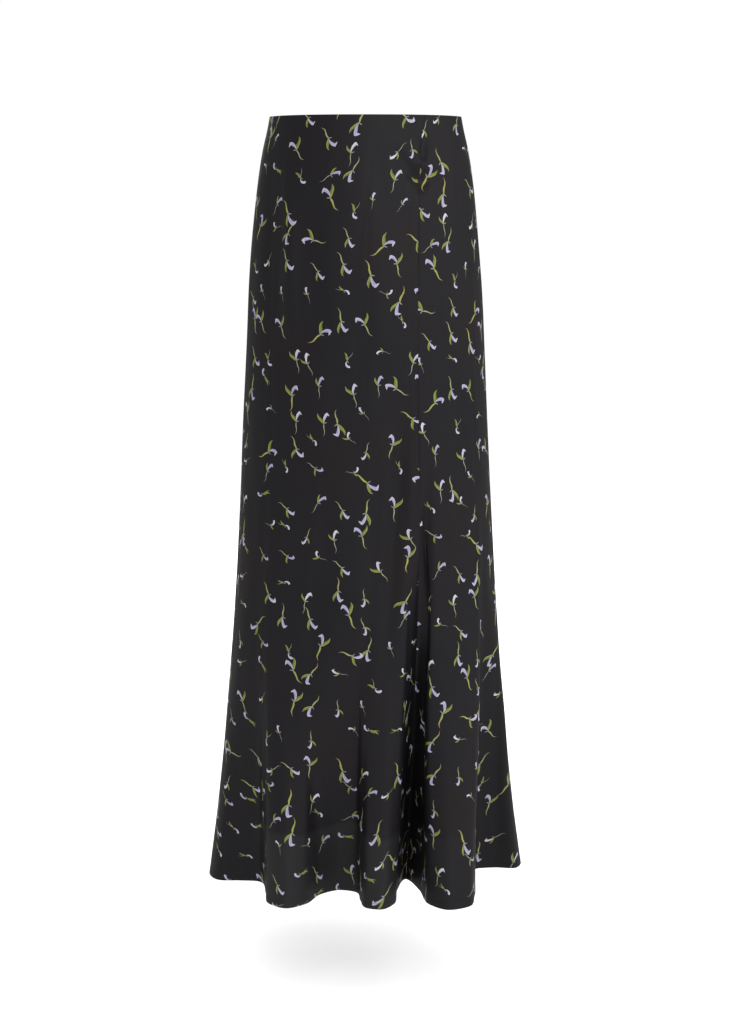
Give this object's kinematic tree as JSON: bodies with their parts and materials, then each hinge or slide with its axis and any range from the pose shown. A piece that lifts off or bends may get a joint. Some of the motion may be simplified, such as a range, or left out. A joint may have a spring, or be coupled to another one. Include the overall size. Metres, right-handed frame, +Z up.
{
  "type": "midi skirt",
  "caption": "Long slim skirt in printed satin, flaring into soft folds at the hem, with an off-centre front seam; hollow, in its worn shape.",
  "frame": {"origin": "middle of the waist opening, level with the top edge, where the wearer's waist holds the skirt", "axes": "+Z up, -Y the front, +X the wearer's left, where the front seam is"},
  "size_m": [0.3994, 0.3022, 0.9502],
  "materials": {
    "printed_satin": "near-black satin with a small scattered print of lilac petals and green leaves, soft sheen",
    "lining_cloth": "plain black lining, thin and smooth, slight sheen"
  },
  "bodies": {
    "root": {"front_panel": "printed_satin", "front_side_panel": "printed_satin", "back_panel": "printed_satin", "lining": "lining_cloth"}
  },
  "joints": []
}
